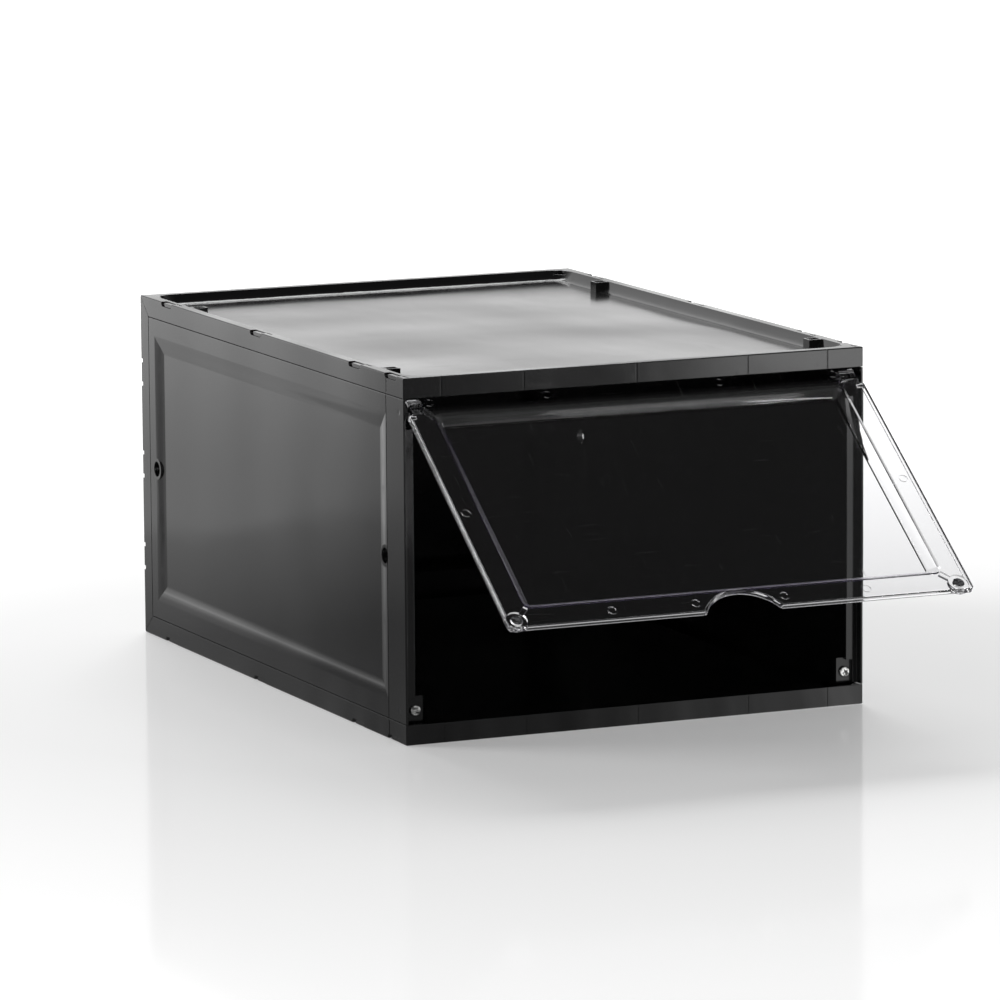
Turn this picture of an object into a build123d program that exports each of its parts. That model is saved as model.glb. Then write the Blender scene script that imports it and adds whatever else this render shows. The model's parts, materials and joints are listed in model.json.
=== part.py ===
"""Stackable drop-front shoe box: five snap-together black panels and a clear magnetic door.

Millimetres. The origin is the centre of the base footprint on the floor, +Z is up, and the
door faces -Y, so +X is to the right of a person who stands in front of the box.
The door is drawn partly open, at DOOR_OPEN_DEG from closed.
"""
from build123d import *
from math import cos, hypot, pi
import os

# Overall size
WIDTH = 255.0
DEPTH = 360.0
HEIGHT = 185.0
FRONT = -DEPTH / 2
BACK = DEPTH / 2
HALF_W = WIDTH / 2

# Sheets and joints between the panels
WALL = 2.0
SEAM = 0.3  # visible gap between neighbouring panels
SKIRT = 10.2  # height of the top and bottom panels' skirts
BACK_WRAP = 11.6  # how far the back panel wraps round each side
EDGE_R = 0.6  # rounding of the case's long outer edges
SIDE_EDGE_R = 0.45  # rounding of the side panels' outer faces

# Top and bottom panels: flat rim, sloped border, sunk floor
RIM = 5.4
SINK = 5.0
RIM_CORNER_R = 12.0
BORDER = ((0.0, 0.0), (1.4, 1.7), (2.8, 3.2), (4.2, 4.3), (5.6, 4.9), (7.0, 5.0))  # (inset, depth)
TOE_GROOVE = (0.5, 0.35)  # width and depth of the fine line round the floor
SOCKET_HOLE = (5.8, 5.2, 5.6)
SOCKET_WALL = 0.9
SOCKET_X = 117.9
SOCKET_FROM_FRONT = (38.0, 298.0)
FRONT_MARK_X = (0.0, 62.0, 107.0)
MARK_WIDTH = 0.8
MARK_DEPTH = 0.35
TAB_X = 70.0  # tabs under the rear rim
TAB_HALF_W = 12.0
TAB_THICK = 1.6

# Clip windows in the outer edges, and the hooks that sit in them
WINDOW = (3.2, 15.0, 2.4)
WINDOW_R = 1.6
HOOK_R = 1.5
WINDOW_FROM_FRONT = (16.0, 62.0, 194.0, 321.0)
SLOT_LENGTH = 7.0
SLOT_WIDTH = 1.0
HOOK_LENGTH = 10.5
HOOK_SHIFT = 1.8  # a hook sits nearer the front end of its window
REAR_WINDOW_Z = (42.0, 92.5, 143.0)
TONGUE = 1.5
TONGUE_GAP = 0.2
TONGUE_FROM_FRONT = (17.0, 27.0)  # outside and inside of the tongue frame
TONGUE_WIDTH = 15.0

# Side panels
STRIP = 21.5  # front strip, marked by a fine groove
PANEL_RECESS_DEPTH = 1.4
PANEL_BEVEL = (10.5, 9.0)
SIDE_RECESS_Y = (22.5, 339.5)
SIDE_RECESS_Z = (20.5, 165.0)
CONNECTOR_R = 4.15
CONNECTOR_COLLAR_R = 5.8
CONNECTOR_Y = (25.0, 338.5)
CONNECTOR_Z = HEIGHT / 2
FRONT_EDGE = 1.1  # wall beside the door
STILE_DEPTH = 5.0  # how far the door sits into the front
STILE_WIDTH = 6.0
STILE_WEB = 1.5
STILE_TOP = 158.5
PLATE_X = 115.6
PLATE_TOP = 23.7
PLATE_THICK = 3.0
SCREW_BOSS_R = 3.5
SCREW_BOSS_LENGTH = 8.4

# Door hinge
HINGE_BACK = 6.0  # behind the front face
HINGE_Z = 167.3
PIN_R = 2.0
PIN_CLEARANCE = 0.05
PIN_LENGTH = 2.5
HINGE_BOSS_R = 4.5
HINGE_BOSS_FACE = 124.1
DOOR_OPEN_DEG = 54.0

# Door, measured from the hinge axis with the door closed: Y is inwards and Z is up
DOOR_SHEET = 2.2
DOOR_FACE = -5.65
DOOR_HALF_W = 126.1
DOOR_HINGE_HALF_W = 123.8
DOOR_NOTCH_Z = -8.0
DOOR_TOP = 5.7
DOOR_BOTTOM = -156.7
DOOR_FLANGE = 12.5
DOOR_TOP_FLANGE = 14.0
DOOR_RECESS = 4.6
DOOR_RECESS_R = 4.0
DOOR_BORDER = 5.2  # width of the recess's sloped border
DOOR_EDGE_R = 0.6
DOOR_TOP_R = 1.05
LIP_DEPTH = 3.4
LIP_THICK = 1.7
LIP_EDGE_R = 0.5
CUTOUT_CHORD = 40.5
CUTOUT_HEIGHT = 12.0
KNUCKLE_R = 3.5
KNUCKLE_LENGTH = 7.8
MARK_RING_R = 2.5
MARK_RING_WIDTH = 0.45
RIB_WIDTH = 2.4

# Closing magnets and the steel screws that they pull on
LATCH_X = 120.0
LATCH_Z = 16.4
CUP_R = 5.4
MAGNET_R = 3.0
MAGNET_THICK = 2.0
SCREW_R = 1.5
SCREW_LENGTH = 7.2
HEAD_R = 2.8
HEAD_THICK = 1.6
HEAD_EDGE_R = 0.7
HEAD_BEHIND = 0.2  # how far a screw head stands behind the stiles
CROSS = (3.4, 0.7)


def span_box(x, y, z):
    """A box from three (low, high) pairs."""
    size = [high - low for low, high in (x, y, z)]
    middle = [(high + low) / 2 for low, high in (x, y, z)]
    return Pos(*middle) * Box(*size)


def from_front(distance):
    return FRONT + distance


def dished_tool(length, height):
    """A shallow recess, sunk along -Z from Z = 0, whose border dips in a smooth S."""
    steps = 8
    straight = 0.25  # share of plain slope, so that the border meets the face at a real angle
    faces = []
    for i in range(steps + 1):
        t = i / steps
        dip = (1 - straight) * (1 - cos(pi * t)) / 2 + straight * t
        outline = Rectangle(length - 2 * PANEL_BEVEL[0] * t, height - 2 * PANEL_BEVEL[1] * t)
        faces.append(Plane.XY.offset(-PANEL_RECESS_DEPTH * dip) * outline)
    outside = extrude(Rectangle(length, height), amount=WALL / 2)
    return loft(faces) + outside


def dish(wall, place, length, height):
    """Sinks a recess in a wall and keeps the sheet's thickness behind it."""
    tool = dished_tool(length, height)
    behind = Pos(0, 0, -WALL) * tool
    return (wall + place * behind) - place * tool


def back_envelope(gap):
    """The trapezoid prism that the back panel fills, shrunk by a gap on its mitred faces."""
    front_y = BACK - BACK_WRAP + gap
    outline = Polyline(
        (front_y, SKIRT + gap), (front_y, HEIGHT - SKIRT - gap), (BACK, HEIGHT - gap), (BACK, gap), close=True
    )
    section = Plane.YZ * make_face(outline)
    return extrude(section, amount=WIDTH, both=True)


# Top and bottom panels

def socket_places():
    return [(side * SOCKET_X, from_front(d)) for side in (-1, 1) for d in SOCKET_FROM_FRONT]


def skirted_rim():
    """Rim and skirt: an upturned tray that is open where the sunk floor goes."""
    outer = span_box((-HALF_W, HALF_W), (FRONT, BACK), (HEIGHT - SKIRT, HEIGHT))
    uprights = outer.edges().filter_by(Axis.Z).group_by(Axis.Y)[0]
    outer = fillet(outer.edges().group_by(Axis.Z)[-1] + uprights, EDGE_R)
    inner = span_box(
        (-HALF_W + WALL, HALF_W - WALL), (FRONT + WALL, BACK + WALL), (HEIGHT - SKIRT, HEIGHT - WALL)
    )
    return outer - inner


def floor_outline(inset):
    """The rounded rectangle of the sunk floor's border, at an inset from the rim."""
    return RectangleRounded(WIDTH - 2 * (RIM + inset), DEPTH - 2 * (RIM + inset), RIM_CORNER_R - inset)


def floor_hollow():
    """The space over the sunk floor. Its border is steep at the rim and runs out softly at the floor."""
    sections = [Plane.XY.offset(HEIGHT - depth) * floor_outline(inset) for inset, depth in BORDER]
    return loft(sections)


def floor_pan():
    """The sunk floor's underside, as a solid up to the rim's underside."""
    rim_under = HEIGHT - WALL
    under = rim_under - SINK
    shift = WALL * (2 ** 0.5 - 1)  # keeps a 45 degree border as thick as the floor
    top = Plane.XY.offset(rim_under) * floor_outline(WALL - shift)
    bottom = Plane.XY.offset(under) * floor_outline(WALL - shift + SINK)
    return loft([bottom, top])


def toe_groove():
    width, depth = TOE_GROOVE
    toe = BORDER[-1][0]
    ring = floor_outline(toe) - floor_outline(toe + width)
    return extrude(Plane.XY.offset(HEIGHT - SINK - depth) * ring, amount=depth + WALL / 2)


def stacking_sockets(panel):
    """Four square blind holes on the side slopes, which take the loose stacking plugs."""
    hole_x, hole_y, hole_z = SOCKET_HOLE
    for x, y in socket_places():
        block = Box(hole_x + 2 * SOCKET_WALL, hole_y + 2 * SOCKET_WALL, SINK + WALL)
        panel += Pos(x, y, HEIGHT - (SINK + WALL) / 2) * block
    for x, y in socket_places():
        panel -= Pos(x, y, HEIGHT - hole_z / 2) * Box(hole_x, hole_y, hole_z)
    return panel


def clip_windows(panel):
    width, length, depth = WINDOW
    slot_x = HALF_W - WALL - 1.3 * SLOT_WIDTH
    window = Box(width, length, 2 * depth)
    window = fillet(window.edges().filter_by(Axis.X).group_by(Axis.Z)[0], WINDOW_R)
    for side in (-1, 1):
        for distance in WINDOW_FROM_FRONT:
            y = from_front(distance)
            panel -= Pos(side * (HALF_W - width / 2), y, HEIGHT) * window
            slot_y = y - (length + SLOT_LENGTH) / 2
            panel -= Pos(side * slot_x, slot_y, HEIGHT - WALL / 2) * Box(SLOT_WIDTH, SLOT_LENGTH, WALL)
    return panel


def front_marks(panel):
    """Fine upright lines on the front skirt, and one on each side over the side panel's groove."""
    places = sorted({side * x for x in FRONT_MARK_X for side in (-1, 1)})
    for x in places:
        panel -= Pos(x, FRONT + MARK_DEPTH / 2, HEIGHT - SKIRT / 2) * Box(MARK_WIDTH, MARK_DEPTH, SKIRT)
    for side in (-1, 1):
        panel -= Pos(side * (HALF_W - MARK_DEPTH / 2), from_front(STRIP), HEIGHT - SKIRT / 2) * Box(
            MARK_DEPTH, MARK_WIDTH, SKIRT - 2 * EDGE_R
        )
    return panel


def rear_tabs(panel):
    """Two tabs under the rear rim, which locate the back panel."""
    y = BACK - WALL - TONGUE_GAP
    for x in (-TAB_X, TAB_X):
        panel += span_box((x - TAB_HALF_W, x + TAB_HALF_W), (y - TAB_THICK, y), (HEIGHT - 12, HEIGHT - WALL))
    return panel


def make_top_panel():
    opening = span_box((-HALF_W + 8, HALF_W - 8), (FRONT + 8, BACK - 8), (HEIGHT - 3, HEIGHT + 1))
    panel = skirted_rim() - opening + floor_pan() - floor_hollow()
    panel -= toe_groove()
    panel = stacking_sockets(panel)
    panel = clip_windows(panel)
    panel = rear_tabs(panel)
    panel -= back_envelope(-SEAM)
    return front_marks(panel)


def make_bottom_panel(top_panel):
    """The same moulding as the top panel, turned over."""
    return Pos(0, 0, HEIGHT) * Rot(0, 180, 0) * top_panel


# Side and back panels. The left panel is drawn, and the right one is its mirror image.

def tongue_ring():
    """The frame that stands in from the wall and slides behind the neighbours' skirts."""
    outer_x = -HALF_W + WALL + TONGUE_GAP
    x = (outer_x, outer_x + TONGUE)
    top = HEIGHT - WALL - TONGUE_GAP - 0.1
    front, inner_front = (from_front(distance) for distance in TONGUE_FROM_FRONT)
    outer = span_box(x, (front, BACK - WALL - TONGUE_GAP), (HEIGHT - top, top))
    inner = span_box(x, (inner_front, BACK - 20), (TONGUE_WIDTH, HEIGHT - TONGUE_WIDTH))
    wall_root = span_box(
        (-HALF_W + WALL, outer_x), (front, BACK - BACK_WRAP - SEAM), (SKIRT + SEAM, HEIGHT - SKIRT - SEAM)
    )
    return outer - inner + (wall_root - inner)


def hook_head(x, y, z):
    """A hook's head, with round lower corners that follow the window's."""
    head = span_box(x, y, z)
    return fillet(head.edges().filter_by(Axis.X).group_by(Axis.Z)[0], HOOK_R)


def edge_hooks():
    """Hooks in the top and bottom windows, and in the windows of the rear corner."""
    leg_x = -HALF_W + WALL + TONGUE_GAP
    leg = (leg_x, leg_x + 0.8)
    head = (-HALF_W + 0.15, leg[1])
    window_floor = HEIGHT - WINDOW[2]
    hooks = []
    for distance in WINDOW_FROM_FRONT:
        y = from_front(distance) - HOOK_SHIFT
        ends = (y - HOOK_LENGTH / 2, y + HOOK_LENGTH / 2)
        upper = hook_head(head, ends, (window_floor + 0.2, HEIGHT - 0.3))
        upper += span_box(leg, (ends[0] + HOOK_R / 2, ends[1] - HOOK_R / 2), (HEIGHT - 14, HEIGHT - 0.5))
        hooks += [upper, mirror(upper, Plane.XY.offset(HEIGHT / 2))]
    for z in REAR_WINDOW_Z:
        ends = (z - HOOK_LENGTH / 2, z + HOOK_LENGTH / 2)
        rear = span_box(head, (BACK - WINDOW[2] + 0.2, BACK - 0.3), ends)
        rear += span_box(leg, (BACK - 14, BACK - 0.5), ends)
        hooks.append(rear)
    return hooks


def front_stile():
    """The flange that the door closes against, and the web that stiffens it."""
    edge_x = -HALF_W + FRONT_EDGE
    inner_x = edge_x + STILE_WIDTH
    z = (PLATE_TOP - 1, STILE_TOP)
    flange = span_box((edge_x - 0.1, inner_x), (from_front(STILE_DEPTH), from_front(STILE_DEPTH + WALL)), z)
    web = span_box((inner_x - STILE_WEB, inner_x), (from_front(STILE_DEPTH), from_front(STRIP)), z)
    return flange + web


def plate_face():
    """The corner plates' front faces, which the screw heads bear on."""
    return from_front(STILE_DEPTH + HEAD_BEHIND + HEAD_THICK)


def corner_plate():
    """The lower front plate that holds the strike screw, with its boss and gusset pad."""
    y_face = plate_face()
    plate = span_box(
        (-HALF_W + FRONT_EDGE - 0.1, -PLATE_X), (y_face, y_face + PLATE_THICK), (SKIRT + SEAM, PLATE_TOP)
    )
    boss = Cylinder(SCREW_BOSS_R, SCREW_BOSS_LENGTH)
    boss = Pos(-LATCH_X, y_face + SCREW_BOSS_LENGTH / 2, LATCH_Z) * Rot(90, 0, 0) * boss
    front, rear = from_front(STILE_DEPTH), from_front(TONGUE_FROM_FRONT[0])
    pad_outline = Polyline((front, SKIRT + SEAM), (rear, SKIRT + SEAM), (rear, 25), (front, 33), close=True)
    pad_plane = Plane.YZ.offset(-HALF_W + WALL - 0.1)
    pad = extrude(pad_plane * make_face(pad_outline), amount=TONGUE)
    return plate + boss + pad


def hinge_boss():
    length = HALF_W - FRONT_EDGE + 0.1 - HINGE_BOSS_FACE
    centre_x = -(HINGE_BOSS_FACE + length / 2)
    return Pos(centre_x, from_front(HINGE_BACK), HINGE_Z) * Rot(0, 90, 0) * Cylinder(HINGE_BOSS_R, length)


def side_holes():
    """Pin hole, screw holes and the two holes for side-by-side connectors."""
    pin_end = DOOR_HINGE_HALF_W + PIN_LENGTH + 0.3
    pin_length = pin_end - HINGE_BOSS_FACE
    pin_x = -(HINGE_BOSS_FACE + pin_length / 2)
    pin_hole = Cylinder(PIN_R + PIN_CLEARANCE, pin_length)
    cuts = [Pos(pin_x, from_front(HINGE_BACK), HINGE_Z) * Rot(0, 90, 0) * pin_hole]
    screw_hole = Cylinder(SCREW_R, SCREW_LENGTH)
    cuts.append(Pos(-LATCH_X, plate_face() + SCREW_LENGTH / 2, LATCH_Z) * Rot(90, 0, 0) * screw_hole)
    for distance in CONNECTOR_Y:
        place = Pos(-HALF_W, from_front(distance), CONNECTOR_Z) * Rot(0, 90, 0)
        cuts.append(place * Cylinder(CONNECTOR_R, 20))
    return cuts


def connector_collars():
    """Rings that stay flush with the outer face round the connector holes."""
    length = WALL + PANEL_RECESS_DEPTH
    rings = []
    for distance in CONNECTOR_Y:
        centre = Pos(-HALF_W + length / 2, from_front(distance), CONNECTOR_Z)
        rings.append(centre * Rot(0, 90, 0) * Cylinder(CONNECTOR_COLLAR_R, length))
    return rings


def sink_dimples():
    """Faint round hollows on the outside, over the hinge boss and the screw boss."""
    ball_r = 8.0
    depth = 0.15
    places = ((HINGE_BACK, HINGE_Z), (8.5, LATCH_Z))
    return [Pos(-HALF_W - ball_r + depth, from_front(d), z) * Sphere(ball_r) for d, z in places]


def make_left_panel():
    wall = span_box(
        (-HALF_W, -HALF_W + WALL), (FRONT, BACK - BACK_WRAP - SEAM), (SKIRT + SEAM, HEIGHT - SKIRT - SEAM)
    )
    outside = wall.faces().sort_by(Axis.X)[0]
    wall = fillet(outside.edges(), SIDE_EDGE_R)
    wall -= span_box((-HALF_W + FRONT_EDGE, 0), (FRONT, from_front(STILE_DEPTH)), (0, HEIGHT))
    length = SIDE_RECESS_Y[1] - SIDE_RECESS_Y[0]
    height = SIDE_RECESS_Z[1] - SIDE_RECESS_Z[0]
    centre = (-HALF_W, from_front(sum(SIDE_RECESS_Y) / 2), sum(SIDE_RECESS_Z) / 2)
    place = Plane(origin=centre, x_dir=(0, -1, 0), z_dir=(-1, 0, 0)).location
    panel = dish(wall, place, length, height)
    panel += [tongue_ring(), front_stile(), corner_plate(), hinge_boss()]
    panel += edge_hooks()
    panel += connector_collars()
    panel -= side_holes()
    panel -= sink_dimples()
    groove = span_box(
        (-HALF_W, -HALF_W + MARK_DEPTH), (from_front(STRIP), from_front(STRIP) + MARK_WIDTH), (0, HEIGHT)
    )
    return panel - groove


def make_right_panel(left_panel):
    return mirror(left_panel, Plane.YZ)


def make_back_panel():
    """A plate with side returns, mitred to meet the top and bottom panels."""
    inside = span_box((-HALF_W + WALL, HALF_W - WALL), (BACK - BACK_WRAP - 1, BACK - WALL), (-1, HEIGHT + 1))
    panel = back_envelope(0.0) - inside
    trim = span_box((-HALF_W, HALF_W), (BACK - BACK_WRAP - 1, BACK + 1), (-1, HEIGHT + 1))
    panel &= trim
    panel = fillet(panel.faces().sort_by(Axis.Y)[-1].edges(), EDGE_R)
    length = WIDTH - 2 * SIDE_RECESS_Z[0]
    height = SIDE_RECESS_Z[1] - SIDE_RECESS_Z[0]
    centre = (0, BACK, sum(SIDE_RECESS_Z) / 2)
    place = Plane(origin=centre, x_dir=(-1, 0, 0), z_dir=(0, 1, 0)).location
    panel = dish(panel, place, length, height)
    depth, window_length, width = WINDOW
    for side in (-1, 1):
        for z in REAR_WINDOW_Z:
            panel -= Pos(side * (HALF_W - depth / 2), BACK - width / 2, z) * Box(depth, width, window_length)
    return panel


# Door, drawn closed with the hinge axis at the origin, then swung open and put in place

def door_outline():
    """The outline seen from the front, with the finger cut-out and the hinge notches."""
    height = DOOR_TOP - DOOR_BOTTOM
    plate = Pos(0, (DOOR_TOP + DOOR_BOTTOM) / 2) * Rectangle(2 * DOOR_HALF_W, height)
    plate = fillet(plate.vertices().group_by(Axis.Y)[0], 2.0)
    for side in (-1, 1):
        notch_width = DOOR_HALF_W - DOOR_HINGE_HALF_W
        notch_height = DOOR_TOP - DOOR_NOTCH_Z
        centre = Pos(side * (DOOR_HALF_W - notch_width / 2), DOOR_TOP - notch_height / 2)
        plate -= centre * Rectangle(notch_width, notch_height)
    half_chord = CUTOUT_CHORD / 2
    radius = (half_chord ** 2 + CUTOUT_HEIGHT ** 2) / (2 * CUTOUT_HEIGHT)
    return plate - Pos(0, DOOR_BOTTOM + CUTOUT_HEIGHT - radius) * Circle(radius)


def door_plane(y):
    """Sketch plane parallel to the door: X to the right, Y up, and its normal towards the front."""
    return Plane(origin=(0, y, 0), x_dir=(1, 0, 0), z_dir=(0, -1, 0))


def recess_block(shift):
    """The sunk centre of the door as a solid, moved inwards by a shift. Its border is a soft S."""
    low = DOOR_BOTTOM + DOOR_FLANGE
    high = DOOR_TOP - DOOR_TOP_FLANGE
    width = 2 * (DOOR_HALF_W - DOOR_FLANGE)
    middle = (low + high) / 2
    steps = 8
    straight = 0.6  # share of plain slope in the border
    faces = []
    for i in range(steps + 1):
        t = i / steps
        inset = DOOR_BORDER * t
        dip = DOOR_RECESS * ((1 - straight) * (1 - cos(pi * t)) / 2 + straight * t)
        outline = RectangleRounded(width - 2 * inset, high - low - 2 * inset, DOOR_RECESS_R - 0.5 * inset)
        faces.append(door_plane(DOOR_FACE + shift + dip) * Pos(0, middle) * outline)
    return loft(faces)


def corner_ribs():
    """Four diagonal ribs on the back of the flange, from the sunk panel's corners outwards."""
    corner_x = DOOR_HALF_W - DOOR_FLANGE
    lower = (DOOR_BOTTOM + DOOR_FLANGE, LATCH_Z - HINGE_Z, LATCH_X)
    upper = (DOOR_TOP - DOOR_TOP_FLANGE, 0.0, DOOR_HINGE_HALF_W - KNUCKLE_LENGTH + 2)
    ribs = []
    for side in (-1, 1):
        for corner_z, end_z, end_x in (lower, upper):
            start = Vector(side * (corner_x - 1.0), -1.6, corner_z + (1.0 if end_z < corner_z else -1.0))
            end = Vector(side * end_x, -1.6, end_z)
            run = end - start
            place = Plane(origin=(start + end) * 0.5, x_dir=run, z_dir=(0, 1, 0)).location
            ribs.append(place * Pos(0, 0, -0.95) * Box(hypot(run.X, run.Z), RIB_WIDTH, 1.9))
    return ribs


def hinge_knuckles():
    """Lugs on the back of the door with the hinge pins moulded on their ends."""
    parts = []
    for side in (-1, 1):
        x = side * (DOOR_HINGE_HALF_W - KNUCKLE_LENGTH / 2)
        parts.append(Pos(x, 0, 0) * Rot(0, 90, 0) * Cylinder(KNUCKLE_R, KNUCKLE_LENGTH))
        parts.append(Pos(x, -2, 0) * Box(KNUCKLE_LENGTH, 4, 2 * KNUCKLE_R))
        pin_x = side * (DOOR_HINGE_HALF_W - 1 + (PIN_LENGTH + 1) / 2)
        parts.append(Pos(pin_x, 0, 0) * Rot(0, 90, 0) * Cylinder(PIN_R, PIN_LENGTH + 1))
    return parts


def cup_place(side, y):
    return Pos(side * LATCH_X, y, LATCH_Z - HINGE_Z) * Rot(90, 0, 0)


def magnet_back():
    """How far inwards the magnets' and cups' back faces stand."""
    return STILE_DEPTH - 0.3 - HINGE_BACK


def magnet_cups(door):
    back = magnet_back()
    length = back - (DOOR_FACE + 0.6)
    for side in (-1, 1):
        door += cup_place(side, back - length / 2) * Cylinder(CUP_R, length)
    for side in (-1, 1):
        depth = MAGNET_THICK + 0.1
        door -= cup_place(side, back - depth / 2) * Cylinder(MAGNET_R + 0.05, depth)
    return door


def ring_marks(door):
    """Shallow round mould marks on the back of the flange."""
    back = DOOR_FACE + DOOR_SHEET
    low = DOOR_BOTTOM + 6.7
    high = DOOR_TOP - 5.0
    places = [(x, low) for x in (-69, -24, 24, 69)] + [(x, high) for x in (-112, -48, 48, 112)]
    places += [(-120, -77), (120, -77)]
    for x, z in places:
        ring = Cylinder(MARK_RING_R, 0.5) - Cylinder(MARK_RING_R - MARK_RING_WIDTH, 0.5)
        door -= Pos(x, back, z) * Rot(90, 0, 0) * ring
    return door


def make_closed_door():
    outline = door_outline()
    face = door_plane(DOOR_FACE)
    sheet = extrude(face * outline, amount=-DOOR_SHEET)
    front_edges = sheet.faces().sort_by(Axis.Y)[0].edges()
    top_edges = sheet.edges().group_by(Axis.Z)[-1].filter_by(Axis.X)
    sheet = fillet(front_edges - top_edges, DOOR_EDGE_R)
    sheet = fillet(sheet.edges().group_by(Axis.Z)[-1].filter_by(Axis.X), DOOR_TOP_R)
    no_lip = Pos(0, DOOR_TOP) * Rectangle(2 * WIDTH, 2 * (DOOR_TOP - DOOR_NOTCH_Z))
    lip_band = outline - offset(outline, -LIP_THICK, kind=Kind.INTERSECTION) - no_lip
    lip = extrude(door_plane(DOOR_FACE + 1.0) * lip_band, amount=-(LIP_DEPTH - 1.0))
    lip = fillet(lip.faces().sort_by(Axis.Y)[-1].edges(), LIP_EDGE_R)
    door = sheet + lip + recess_block(DOOR_SHEET) - recess_block(0.0)
    door += corner_ribs()
    door += hinge_knuckles()
    door = magnet_cups(door)
    return ring_marks(door)


def make_closed_magnet(side):
    magnet = Cylinder(MAGNET_R, MAGNET_THICK)
    magnet = chamfer(magnet.edges(), 0.15)
    return cup_place(side, magnet_back() - 0.05 - MAGNET_THICK / 2) * magnet


def swing(piece):
    """Moves a piece drawn about the hinge axis to its place on the open door."""
    return Pos(0, from_front(HINGE_BACK), HINGE_Z) * Rot(-DOOR_OPEN_DEG, 0, 0) * piece


def make_screw(side):
    """A cross-head screw. Its head faces the front and its shank bites into the corner plate."""
    head = fillet(Cylinder(HEAD_R, HEAD_THICK).edges().group_by(Axis.Z)[-1], HEAD_EDGE_R)
    for angle in (0, 90):
        head -= Pos(0, 0, HEAD_THICK / 2) * Rot(0, 0, angle) * Box(*CROSS, HEAD_THICK)
    shank = Pos(0, 0, -(HEAD_THICK + SCREW_LENGTH) / 2) * Cylinder(SCREW_R, SCREW_LENGTH)
    place = Pos(side * LATCH_X, plate_face() - HEAD_THICK / 2, LATCH_Z) * Rot(90, 0, 0)
    return place * Rot(0, 0, 25 * side) * (head + shank)


def make_all():
    top_panel = make_top_panel()
    left_panel = make_left_panel()
    return {
        "top_panel": top_panel,
        "bottom_panel": make_bottom_panel(top_panel),
        "left_panel": left_panel,
        "right_panel": make_right_panel(left_panel),
        "back_panel": make_back_panel(),
        "door": swing(make_closed_door()),
        "left_door_magnet": swing(make_closed_magnet(-1)),
        "right_door_magnet": swing(make_closed_magnet(1)),
        "left_strike_screw": make_screw(-1),
        "right_strike_screw": make_screw(1),
    }


os.makedirs("parts", exist_ok=True)
for name, solid in make_all().items():
    export_step(solid, f"parts/{name}.step")
    print(name, len(solid.solids()), round(solid.volume / 1000, 2), "cm3")
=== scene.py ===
"""The looks of a stackable shoe box: black moulded panels and a clear drop-front door.

Metres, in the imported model's frame: +Z up, the door faces -Y, and the origin is the centre of the base.
"""
import json
import math

import bpy
from mathutils import Matrix, Vector

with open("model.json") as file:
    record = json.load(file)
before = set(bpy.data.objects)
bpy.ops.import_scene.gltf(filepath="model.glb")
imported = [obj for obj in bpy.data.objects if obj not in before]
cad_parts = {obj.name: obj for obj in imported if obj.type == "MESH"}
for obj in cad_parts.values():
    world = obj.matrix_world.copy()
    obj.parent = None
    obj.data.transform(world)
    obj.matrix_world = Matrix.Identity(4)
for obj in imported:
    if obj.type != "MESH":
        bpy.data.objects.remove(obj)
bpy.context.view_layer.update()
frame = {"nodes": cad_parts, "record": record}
scene = bpy.context.scene
nodes = frame["nodes"]

MM = 0.001

# Black plastic: pairs are the ends of what a texture varies
BLACK_TONES = ((0.0045, 0.0045, 0.0048, 1), (0.0075, 0.0075, 0.0080, 1))
BLACK_ROUGHNESS = (0.09, 0.17)
BLACK_SCRATCH = 0.05  # roughness that a scratch adds
BLACK_STRETCHES = ((1.0, 0.05, 0.3), (0.06, 1.0, 0.3))  # of scratches along Y and along X
BLACK_IOR = 1.47
EDGE_RADIUS = 0.35 * MM
WARP_HEIGHT = 2.8 * MM
RIPPLE_HEIGHT = 0.15 * MM
GRAIN_HEIGHT = 0.004 * MM

# Clear plastic
CLEAR_TONE = (0.93, 0.93, 0.94, 1)
CLEAR_ROUGHNESS = (0.0, 0.02)
CLEAR_SCRATCH = 0.12
CLEAR_STRETCHES = ((1.0, 0.1, 0.1), (0.1, 1.0, 1.0))  # of scratches up the door and along X
CLEAR_IOR = 1.46
CLEAR_WAVE_HEIGHT = 0.05 * MM
SHEEN_WEIGHT = 0.5
SHEEN_ROUGHNESS = 0.2
SHEEN_TINT = (0.72, 0.60, 1.0, 1)

# Scratches in both plastics: the scale of their noise, and its levels where they fade in
SCRATCH_SCALE = 420.0
SCRATCH_LEVELS = (0.72, 0.78)

# Plated metals
MAGNET_TINT = (0.78, 0.78, 0.80)
MAGNET_ROUGHNESS = 0.12
SCREW_TINT = (0.75, 0.75, 0.74)
SCREW_ROUGHNESS = 0.22
METAL_STAIN = 0.15  # of the tint
METAL_STAIN_LEVELS = (0.42, 0.58)
METAL_ROUGHNESS_RANGE = (0.6, 1.4)  # of the roughness
DENT_HEIGHT = 0.25 * MM
PLATING_HEIGHT = 0.01 * MM

# Camera: where it looks, how far off it stands, and its angles in degrees
CAMERA_TARGET = (0.0047, 0.0, 0.0889)
CAMERA_DISTANCE = 3.63
CAMERA_AZIMUTH = -24.03
CAMERA_ELEVATION = 9.11
CAMERA_ROLL = -0.41
CAMERA_LENS = 247.67
CAMERA_SENSOR = 36.0
CAMERA_CLIP_END = 100.0

# Floor, as radiance against a white of 1
FLOOR_SIZE = 40.0
FLOOR_DROP = 0.2 * MM  # keeps the floor off the box's base
FLOOR_ALBEDO = 0.8
FLOOR_GLOSS = 0.2
FLOOR_ROUGHNESS = 0.09
FLOOR_PAINTED_GLOW = (0.27, 0.64)  # painted glow by the box and far from it, less by the box so the floor reads darker there as painted shade
FLOOR_PAINTED_GLOW_FROM = (0.30, 1.10)  # metres from the middle
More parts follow.
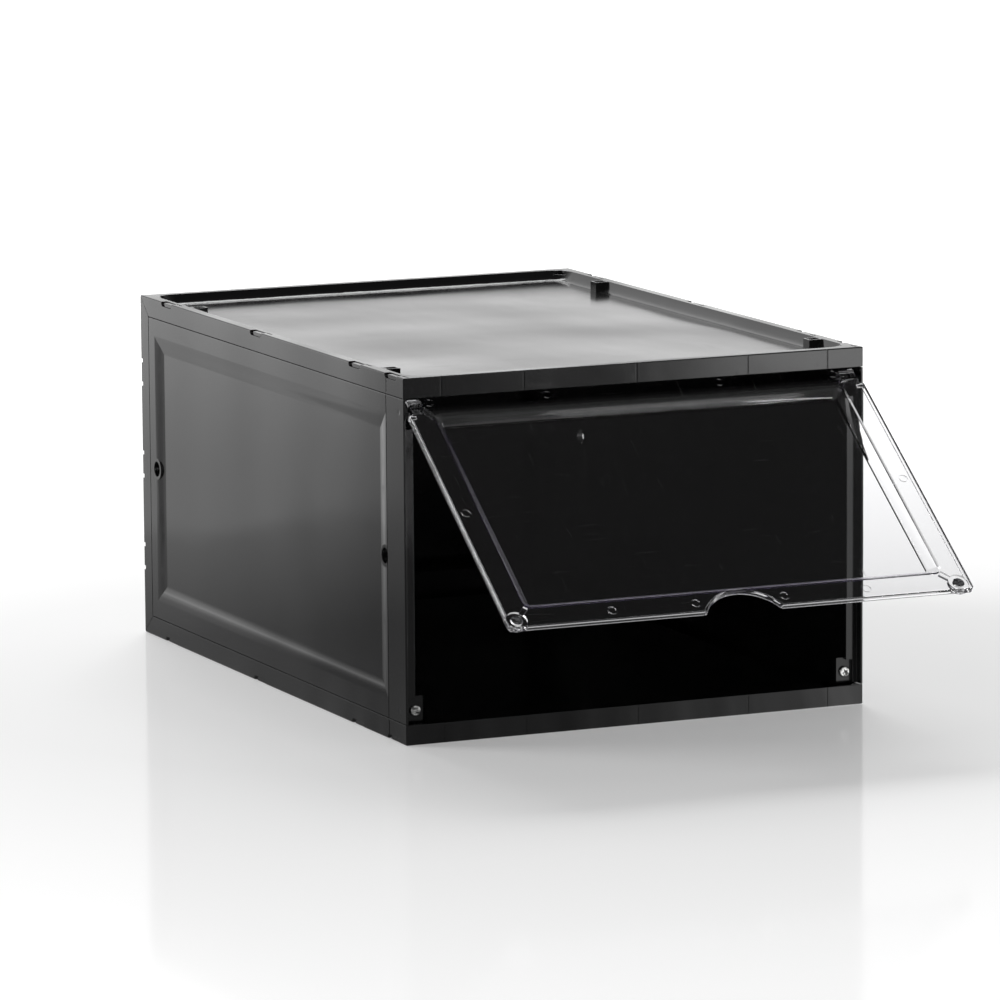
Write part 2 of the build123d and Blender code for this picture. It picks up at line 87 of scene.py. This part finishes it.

# Painted reflection: the floor as glossy panels see it, painted as (place, level) stops and low by the box
# as painted shade. Behind the box the place is Y, and in front of it the place is X + FRONT_SLANT * Y.
PAINTED_REFLECTION_BEHIND = (
    (0.15, 0.32), (0.32, 0.48), (0.47, 0.62), (0.51, 0.86),
    (0.75, 0.92), (1.0, 1.12), (2.0, 1.9), (4.0, 2.4),
)
PAINTED_REFLECTION_FRONT = ((-0.20, 0.22), (-0.11, 0.34), (-0.05, 0.6), (0.01, 0.9), (0.05, 1.5))
PAINTED_REFLECTION_JOIN = (-0.1, 0.1)  # Y, from all front to all behind
FRONT_SLANT = 0.447
# Painted shade: a darker band in the painted reflection across the left front; no flag stands there
PAINTED_SHADE_SLANT = 2.24
PAINTED_SHADE_EDGE = (-0.38, -0.27)  # of Y plus the slant times X, from painted shade to none
PAINTED_SHADE_LEVEL = 0.58
# Painted highlight: a bright band in the painted reflection in front of the box at the right; no lamp
# stands there
PAINTED_HIGHLIGHT_LEVEL = 2.4
PAINTED_HIGHLIGHT_NEAR_EDGE = (-1.15, -1.08)  # Y, from painted highlight to none
PAINTED_HIGHLIGHT_LEFT_EDGE = (-0.06, 0.0)  # X + FRONT_SLANT * Y, from none to painted highlight
# Painted streaks in the front part of the painted reflection
PAINTED_STREAK_LEVELS = (0.65, 1.35)

# Backdrop, which every ray but the camera's own sees
AMBIENT = 0.10
BACKDROP = 1.5
BACKDROP_BY_HEIGHT = (
    (0.0, 1.8), (0.10, 1.00), (0.155, 0.70), (0.20, 0.42), (0.30, 0.62),
    (0.42, 0.8), (0.60, 0.55), (0.74, 0.30), (0.87, 0.0),
)  # stops of (the direction's Z, level)
FRONT_LEVEL = 0.42  # of the backdrop, in front of the box
FRONT_TO_BACK = (0.15, 0.75)  # the direction's Y

LIGHTS_AIM = (0, 0, 0.1)
WHITE = (1, 1, 1, 1)


# Node helpers

def cleared(owner, output):
    """The node tree of a material or world, emptied, and its new output node."""
    owner.use_nodes = True
    tree = owner.node_tree
    tree.nodes.clear()
    return tree, add(tree, output)


def new_material(name):
    material = bpy.data.materials.new(name)
    tree, output = cleared(material, "OutputMaterial")
    surface = add(tree, "BsdfPrincipled")
    tree.links.new(surface.outputs["BSDF"], output.inputs["Surface"])
    return material, tree, surface


def add(tree, kind, settings=(), links=(), **values):
    """A new node: settings are its properties, values its sockets' defaults, and links feed its sockets."""
    node = tree.nodes.new("ShaderNode" + kind)
    for key, value in dict(settings).items():
        setattr(node, key, value)
    for key, value in values.items():
        node.inputs[key.replace("_", " ")].default_value = value
    for key, source in dict(links).items():
        tree.links.new(source, node.inputs[key])
    return node


def combine(tree, operation, *sources):
    """Numbers or sockets put together by a Math node."""
    node = add(tree, "Math", {"operation": operation})
    for socket, source in zip(node.inputs, sources):
        if isinstance(source, (int, float)):
            socket.default_value = source
        else:
            tree.links.new(source, socket)
    return node.outputs["Value"]


def mix_shaders(tree, factor, first, second):
    """The first shader where the factor's socket is 0 and the second where it is 1."""
    node = add(tree, "MixShader", links={0: factor, 1: first, 2: second})
    return node.outputs["Shader"]


def mix_tones(tree, factor, tones):
    """The first tone where the factor's socket is 0 and the second where it is 1."""
    node = add(tree, "Mix", {"data_type": "RGBA"}, {"Factor": factor})
    node.inputs[6].default_value, node.inputs[7].default_value = tones
    return node.outputs[2]


def here(tree):
    """Coordinates in the object's own metres."""
    return add(tree, "TexCoord").outputs["Object"]


def place(tree, scale=(1, 1, 1)):
    """Coordinates in the object's own metres, stretched by a scale."""
    return add(tree, "Mapping", links={"Vector": here(tree)}, Scale=scale).outputs["Vector"]


def noise(tree, vector, scale, detail=2.0, roughness=0.5):
    shape = {"Scale": scale, "Detail": detail, "Roughness": roughness}
    return add(tree, "TexNoise", links={"Vector": vector}, **shape).outputs["Fac"]


def spread(tree, value, low, high, from_low=0.3, from_high=0.7):
    """Maps a range of values to another. By default the first is where most of a noise lies."""
    node = add(tree, "MapRange", links={"Value": value})
    limits = {"From Min": from_low, "From Max": from_high, "To Min": low, "To Max": high}
    for socket, number in limits.items():
        node.inputs[socket].default_value = number
    return node.outputs["Result"]


def ramp(tree, value, stops):
    """A line through (value, level) stops."""
    low, high = stops[0][0], stops[-1][0]
    top = max(level for at, level in stops)
    node = add(tree, "ValToRGB", links={"Fac": spread(tree, value, 0.0, 1.0, low, high)})
    elements = node.color_ramp.elements
    while len(elements) < len(stops):
        elements.new(0.5)
    for element, (at, level) in zip(elements, stops):
        element.position = (at - low) / (high - low)
        element.color = (level / top, level / top, level / top, 1)
    return combine(tree, "MULTIPLY", node.outputs["Color"], top)


def bump(tree, height, distance, under=None):
    """A normal bent by a height, on top of the normal that is under it."""
    node = add(tree, "Bump", links={"Height": height}, Distance=distance)
    if under is not None:
        tree.links.new(under, node.inputs["Normal"])
    return node.outputs["Normal"]


def fine_scratches(tree, stretch):
    """Sparse thin marks, long in the direction that a stretch squeezes."""
    marks = noise(tree, place(tree, stretch), SCRATCH_SCALE, detail=1.0, roughness=0.4)
    return spread(tree, marks, 0.0, 1.0, *SCRATCH_LEVELS)


def scratched(tree, roughness, added, stretches):
    """A roughness with two sets of fine scratches added to it."""
    scratches = combine(tree, "ADD", *(fine_scratches(tree, stretch) for stretch in stretches))
    return combine(tree, "MULTIPLY_ADD", scratches, added, roughness)


# Materials

def black_plastic():
    material, tree, surface = new_material("black_plastic_look")
    metres = place(tree)
    tone = spread(tree, noise(tree, metres, scale=14.0), 0.0, 1.0)
    tree.links.new(mix_tones(tree, tone, BLACK_TONES), surface.inputs["Base Color"])
    gloss = spread(tree, noise(tree, metres, scale=9.0, detail=4.0), *BLACK_ROUGHNESS)
    roughness = scratched(tree, gloss, BLACK_SCRATCH, BLACK_STRETCHES)
    tree.links.new(roughness, surface.inputs["Roughness"])
    surface.inputs["IOR"].default_value = BLACK_IOR
    warp = noise(tree, place(tree, (1.0, 1.0, 0.6)), scale=7.0, detail=1.0)
    ripple = noise(tree, place(tree, (1.0, 0.35, 1.0)), scale=26.0)
    grain = noise(tree, metres, scale=900.0)
    normal = add(tree, "Bevel", {"samples": 4}, Radius=EDGE_RADIUS).outputs["Normal"]
    normal = bump(tree, warp, WARP_HEIGHT, normal)
    normal = bump(tree, ripple, RIPPLE_HEIGHT, normal)
    normal = bump(tree, grain, GRAIN_HEIGHT, normal)
    tree.links.new(normal, surface.inputs["Normal"])
    return material


def clear_plastic():
    material, tree, surface = new_material("clear_plastic_look")
    surface.inputs["Base Color"].default_value = CLEAR_TONE
    surface.inputs["Transmission Weight"].default_value = 1.0
    surface.inputs["IOR"].default_value = CLEAR_IOR
    surface.inputs["Sheen Weight"].default_value = SHEEN_WEIGHT
    surface.inputs["Sheen Roughness"].default_value = SHEEN_ROUGHNESS
    surface.inputs["Sheen Tint"].default_value = SHEEN_TINT
    metres = place(tree)
    gloss = spread(tree, noise(tree, metres, scale=25.0, detail=4.0), *CLEAR_ROUGHNESS)
    roughness = scratched(tree, gloss, CLEAR_SCRATCH, CLEAR_STRETCHES)
    tree.links.new(roughness, surface.inputs["Roughness"])
    wave = noise(tree, metres, scale=30.0, detail=1.0)
    tree.links.new(bump(tree, wave, CLEAR_WAVE_HEIGHT), surface.inputs["Normal"])
    return material


def plated_metal(name, tint, roughness):
    material, tree, surface = new_material(name)
    metres = place(tree)
    clean = spread(tree, noise(tree, metres, scale=700.0, detail=1.0), 0.0, 1.0, *METAL_STAIN_LEVELS)
    stained = (*(METAL_STAIN * level for level in tint), 1)
    tree.links.new(mix_tones(tree, clean, (stained, (*tint, 1))), surface.inputs["Base Color"])
    surface.inputs["Metallic"].default_value = 1.0
    smooth, rough = (roughness * part for part in METAL_ROUGHNESS_RANGE)
    gloss = spread(tree, noise(tree, metres, scale=1500.0), smooth, rough)
    tree.links.new(gloss, surface.inputs["Roughness"])
    normal = bump(tree, noise(tree, metres, scale=650.0, detail=1.0), DENT_HEIGHT)
    normal = bump(tree, noise(tree, metres, scale=2500.0), PLATING_HEIGHT, normal)
    tree.links.new(normal, surface.inputs["Normal"])
    return material


def dress_nodes():
    """Gives each piece the material of its slot in the record."""
    looks = {
        "black_plastic": black_plastic(),
        "clear_plastic": clear_plastic(),
        "magnet": plated_metal("magnet_look", MAGNET_TINT, MAGNET_ROUGHNESS),
        "screw_steel": plated_metal("screw_look", SCREW_TINT, SCREW_ROUGHNESS),
    }
    look_of = {part["node"]: looks[part["material_slot"]] for part in frame["record"]["subparts"]}
    for name, piece in nodes.items():
        for slot in piece.material_slots:
            slot.material = look_of[name]


# Studio

def painted_floor_reflection(tree):
    """Painted reflection: how bright the floor looks in the glossy panels, with painted shade by the box
    and at the left front, and a painted highlight in front at the right.
    """
    axes = add(tree, "SeparateXYZ", links={"Vector": here(tree)})
    x, y = axes.outputs["X"], axes.outputs["Y"]
    # painted shade across the left front
    shade_place = combine(tree, "ADD", y, combine(tree, "MULTIPLY", x, PAINTED_SHADE_SLANT))
    painted_shade = spread(tree, shade_place, PAINTED_SHADE_LEVEL, 1.0, *PAINTED_SHADE_EDGE)
    behind = combine(tree, "MULTIPLY", ramp(tree, y, PAINTED_REFLECTION_BEHIND), painted_shade)
    across = combine(tree, "ADD", x, combine(tree, "MULTIPLY", y, FRONT_SLANT))
    # painted highlight in front of the box at the right
    near = spread(tree, y, 1.0, 0.0, *PAINTED_HIGHLIGHT_NEAR_EDGE)
    lit = spread(tree, across, 0.0, PAINTED_HIGHLIGHT_LEVEL, *PAINTED_HIGHLIGHT_LEFT_EDGE)
    lamp_and_painted_highlight = combine(tree, "MULTIPLY", near, lit)
    front = combine(tree, "ADD", ramp(tree, across, PAINTED_REFLECTION_FRONT), lamp_and_painted_highlight)
    line = add(tree, "CombineXYZ", links={"X": across}).outputs["Vector"]
    # painted streaks across the front part of the painted reflection
    painted_streaks = spread(tree, noise(tree, line, scale=45.0, detail=3.0), *PAINTED_STREAK_LEVELS)
    front = combine(tree, "MULTIPLY", front, painted_streaks)
    in_front = spread(tree, y, 1.0, 0.0, *PAINTED_REFLECTION_JOIN)
    return add(tree, "Mix", links={"Factor": in_front, "A": behind, "B": front}).outputs["Result"]


def floor_material():
    """A pale sheet with a painted glow for the camera and the clear door, weaker by the box as painted
    shade, and a painted reflection in the glossy panels.
    """
    material = bpy.data.materials.new("floor_sheet")
    tree, output = cleared(material, "OutputMaterial")
    matt = add(tree, "BsdfDiffuse", Color=(FLOOR_ALBEDO, FLOOR_ALBEDO, FLOOR_ALBEDO, 1))
    gloss = add(tree, "BsdfGlossy", Color=WHITE, Roughness=FLOOR_ROUGHNESS)
    both = {1: matt.outputs["BSDF"], 2: gloss.outputs["BSDF"]}
    sheet = add(tree, "MixShader", links=both, Fac=FLOOR_GLOSS)
    rays = add(tree, "LightPath").outputs
    away = add(tree, "VectorMath", {"operation": "LENGTH"}, {"Vector": here(tree)}).outputs["Value"]
    seen = combine(tree, "MAXIMUM", rays["Is Camera Ray"], rays["Is Transmission Ray"])
    # painted glow for the camera and the clear door, weaker by the box as painted shade
    painted_glow = combine(tree, "MULTIPLY", seen, spread(tree, away, *FLOOR_PAINTED_GLOW, *FLOOR_PAINTED_GLOW_FROM))
    glow = add(tree, "Emission", links={"Strength": painted_glow})
    sheet_and_painted_glow = add(tree, "AddShader", links={0: sheet.outputs["Shader"], 1: glow.outputs["Emission"]})
    # painted reflection: glossy rays see this glow instead of the lit sheet
    painted_reflection = add(tree, "Emission", links={"Strength": painted_floor_reflection(tree)})
    outside = combine(tree, "SUBTRACT", 1.0, rays["Is Transmission Ray"])
    in_gloss = combine(tree, "MULTIPLY", rays["Is Glossy Ray"], outside)
    look = mix_shaders(tree, in_gloss, sheet_and_painted_glow.outputs["Shader"], painted_reflection.outputs["Emission"])
    tree.links.new(look, output.inputs["Surface"])
    return material


def make_floor():
    mesh = bpy.data.meshes.new("studio_floor")
    half = FLOOR_SIZE / 2
    corners = [(-half, -half, 0), (half, -half, 0), (half, half, 0), (-half, half, 0)]
    mesh.from_pydata(corners, [], [(0, 1, 2, 3)])
    mesh.materials.append(floor_material())
    floor = bpy.data.objects.new("studio_floor", mesh)
    floor.location.z = -FLOOR_DROP
    scene.collection.objects.link(floor)
    return floor


def make_world():
    """White to the camera, and a backdrop graded by height and depth to everything else."""
    world = bpy.data.worlds.new("studio")
    scene.world = world
    tree, output = cleared(world, "OutputWorld")
    direction = add(tree, "SeparateXYZ", links={"Vector": add(tree, "TexCoord").outputs["Generated"]})
    depth = spread(tree, direction.outputs["Y"], FRONT_LEVEL, 1.0, *FRONT_TO_BACK)
    height = ramp(tree, direction.outputs["Z"], BACKDROP_BY_HEIGHT)
    level = combine(tree, "MULTIPLY_ADD", combine(tree, "MULTIPLY", depth, height), BACKDROP, AMBIENT)
    lit = add(tree, "Background", links={"Strength": level}).outputs["Background"]
    white = add(tree, "Background", Color=WHITE).outputs["Background"]
    camera_ray = add(tree, "LightPath").outputs["Is Camera Ray"]
    tree.links.new(mix_shaders(tree, camera_ray, lit, white), output.inputs["Surface"])


def softbox(name, at, size, radiance, only=()):
    """A rectangular light of an even radiance, aimed at the box and hidden from the camera.

    It may be flagged off all but some pieces.
    """
    width, height = size
    lamp_and_painted_highlight = bpy.data.lights.new(name, "AREA")
    lamp_and_painted_highlight.shape = "RECTANGLE"
    lamp_and_painted_highlight.size = width
    lamp_and_painted_highlight.size_y = height
    lamp_and_painted_highlight.energy = radiance * math.pi * width * height
    light = bpy.data.objects.new(name, lamp_and_painted_highlight)
    light.location = at
    aim = Vector(LIGHTS_AIM) - Vector(at)
    light.rotation_euler = aim.to_track_quat("-Z", "Y").to_euler()
    light.visible_camera = False
    scene.collection.objects.link(light)
    if only:
        lit = bpy.data.collections.new(name + "_lit")
        for piece in only:
            lit.objects.link(piece)
        light.light_linking.receiver_collection = lit


def make_lights(floor):
    case = [nodes[name] for name in frame["record"]["behaviour"]["bodies"]["case"]]
    door = nodes["door"]
    softbox("back_softbox", at=(0.6, 2.6, 3.0), size=(2.4, 1.6), radiance=6.0, only=[floor, *case])
    softbox("left_softbox", at=(-2.9, 1.7, 1.9), size=(1.6, 1.6), radiance=6.0)
    softbox("front_right_softbox", at=(1.62, -2.95, 0.46), size=(0.75, 0.42), radiance=1.5, only=[door])
    softbox("front_right_strip", at=(1.66, -2.85, 0.37), size=(0.55, 0.22), radiance=30.0, only=[door])


def make_camera():
    azimuth, elevation = math.radians(CAMERA_AZIMUTH), math.radians(CAMERA_ELEVATION)
    level = math.cos(elevation)
    back = Vector((math.sin(azimuth) * level, -math.cos(azimuth) * level, math.sin(elevation)))
    data = bpy.data.cameras.new("camera")
    data.lens = CAMERA_LENS
    data.sensor_width = CAMERA_SENSOR
    data.clip_end = CAMERA_CLIP_END
    right = Vector((0, 0, 1)).cross(back).normalized()
    turn = Matrix.Rotation(math.radians(CAMERA_ROLL), 3, back)
    axes = Matrix((turn @ right, turn @ back.cross(right), back)).transposed()
    camera = bpy.data.objects.new("camera", data)
    camera.matrix_world = Matrix.Translation(Vector(CAMERA_TARGET) + back * CAMERA_DISTANCE) @ axes.to_4x4()
    scene.collection.objects.link(camera)
    scene.camera = camera


dress_nodes()
studio_floor = make_floor()
make_world()
make_lights(studio_floor)
make_camera()
scene.view_settings.view_transform = "Standard"
